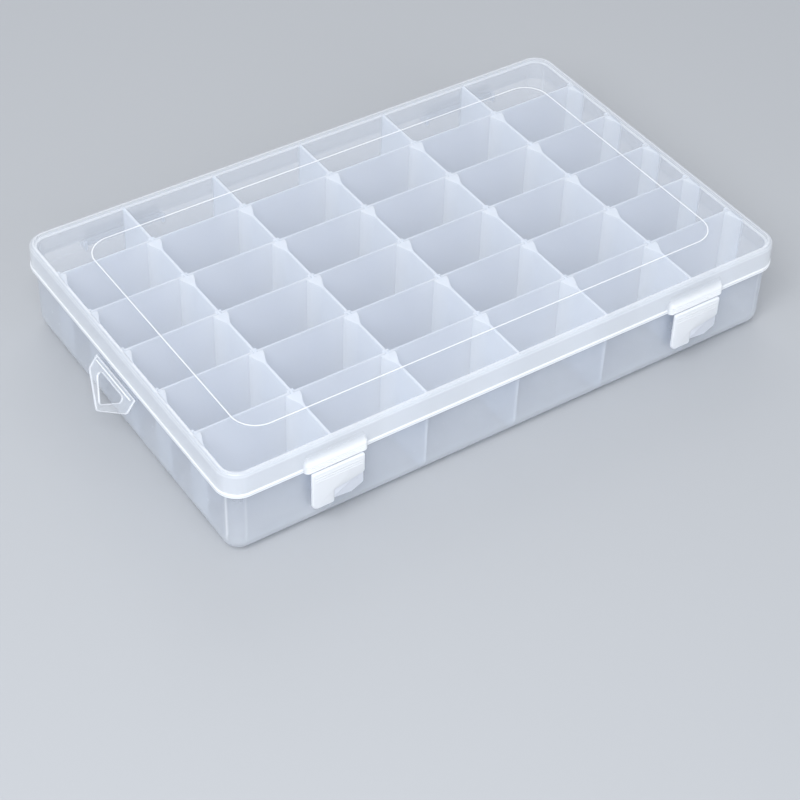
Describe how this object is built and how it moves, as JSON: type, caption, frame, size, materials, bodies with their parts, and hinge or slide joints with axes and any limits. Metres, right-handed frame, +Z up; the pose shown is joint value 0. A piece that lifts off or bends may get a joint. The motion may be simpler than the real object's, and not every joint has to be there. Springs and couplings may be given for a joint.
{
  "type": "compartment organizer box",
  "caption": "Flat see-through plastic box with a hinged lid, snap latches, a folding hang tab and small compartments formed by fixed walls and loose dividers.",
  "frame": {"origin": "centre of the flat underside of the tray, on the surface that the box stands on", "axes": "+Z up, -Y towards the front side with the latches, +Y towards the hinges, -X towards the short side with the hang tab"},
  "size_m": [0.2848, 0.1818, 0.0454],
  "materials": {
    "clear_shell": "see-through, slightly milky, glossy polypropylene",
    "milky_divider": "milky, half see-through polypropylene",
    "milky_latch": "milky, half see-through polypropylene"
  },
  "bodies": {
    "tray": {"base_tray": "clear_shell", "divider_row1_col1": "milky_divider", "divider_row1_col2": "milky_divider", "divider_row1_col3": "milky_divider", "divider_row1_col4": "milky_divider", "divider_row1_col5": "milky_divider", "divider_row1_col6": "milky_divider", "divider_row2_col1": "milky_divider", "divider_row2_col2": "milky_divider", "divider_row2_col3": "milky_divider", "divider_row2_col4": "milky_divider", "divider_row2_col5": "milky_divider", "divider_row2_col6": "milky_divider", "divider_row3_col1": "milky_divider", "divider_row3_col2": "milky_divider", "divider_row3_col3": "milky_divider", "divider_row3_col4": "milky_divider", "divider_row3_col5": "milky_divider", "divider_row3_col6": "milky_divider", "divider_row4_col1": "milky_divider", "divider_row4_col2": "milky_divider", "divider_row4_col3": "milky_divider", "divider_row4_col4": "milky_divider", "divider_row4_col5": "milky_divider", "divider_row4_col6": "milky_divider", "divider_row5_col1": "milky_divider", "divider_row5_col2": "milky_divider", "divider_row5_col3": "milky_divider", "divider_row5_col4": "milky_divider", "divider_row5_col5": "milky_divider", "divider_row5_col6": "milky_divider"},
    "lid": {"lid": "clear_shell"},
    "latch_left": {"latch_left": "milky_latch"},
    "latch_right": {"latch_right": "milky_latch"},
    "hang_tab": {"hang_tab": "clear_shell"}
  },
  "joints": [
    {"name": "lid_hinge", "type": "hinge", "parent": "tray", "child": "lid", "pos_m": [0, 0.0886, 0.0302], "axis": [-1, 0, 0], "range_deg": [0, 180]},
    {"name": "latch_left_hinge", "type": "hinge", "parent": "lid", "child": "latch_left", "pos_m": [-0.0896, -0.0897, 0.0316], "axis": [-1, 0, 0], "range_deg": [0, 130]},
    {"name": "latch_right_hinge", "type": "hinge", "parent": "lid", "child": "latch_right", "pos_m": [0.0896, -0.0897, 0.0316], "axis": [-1, 0, 0], "range_deg": [0, 130]},
    {"name": "hang_tab_hinge", "type": "hinge", "parent": "tray", "child": "hang_tab", "pos_m": [-0.1369, 0.004, 0.0286], "axis": [0, 1, 0], "range_deg": [-36, 120]}
  ]
}
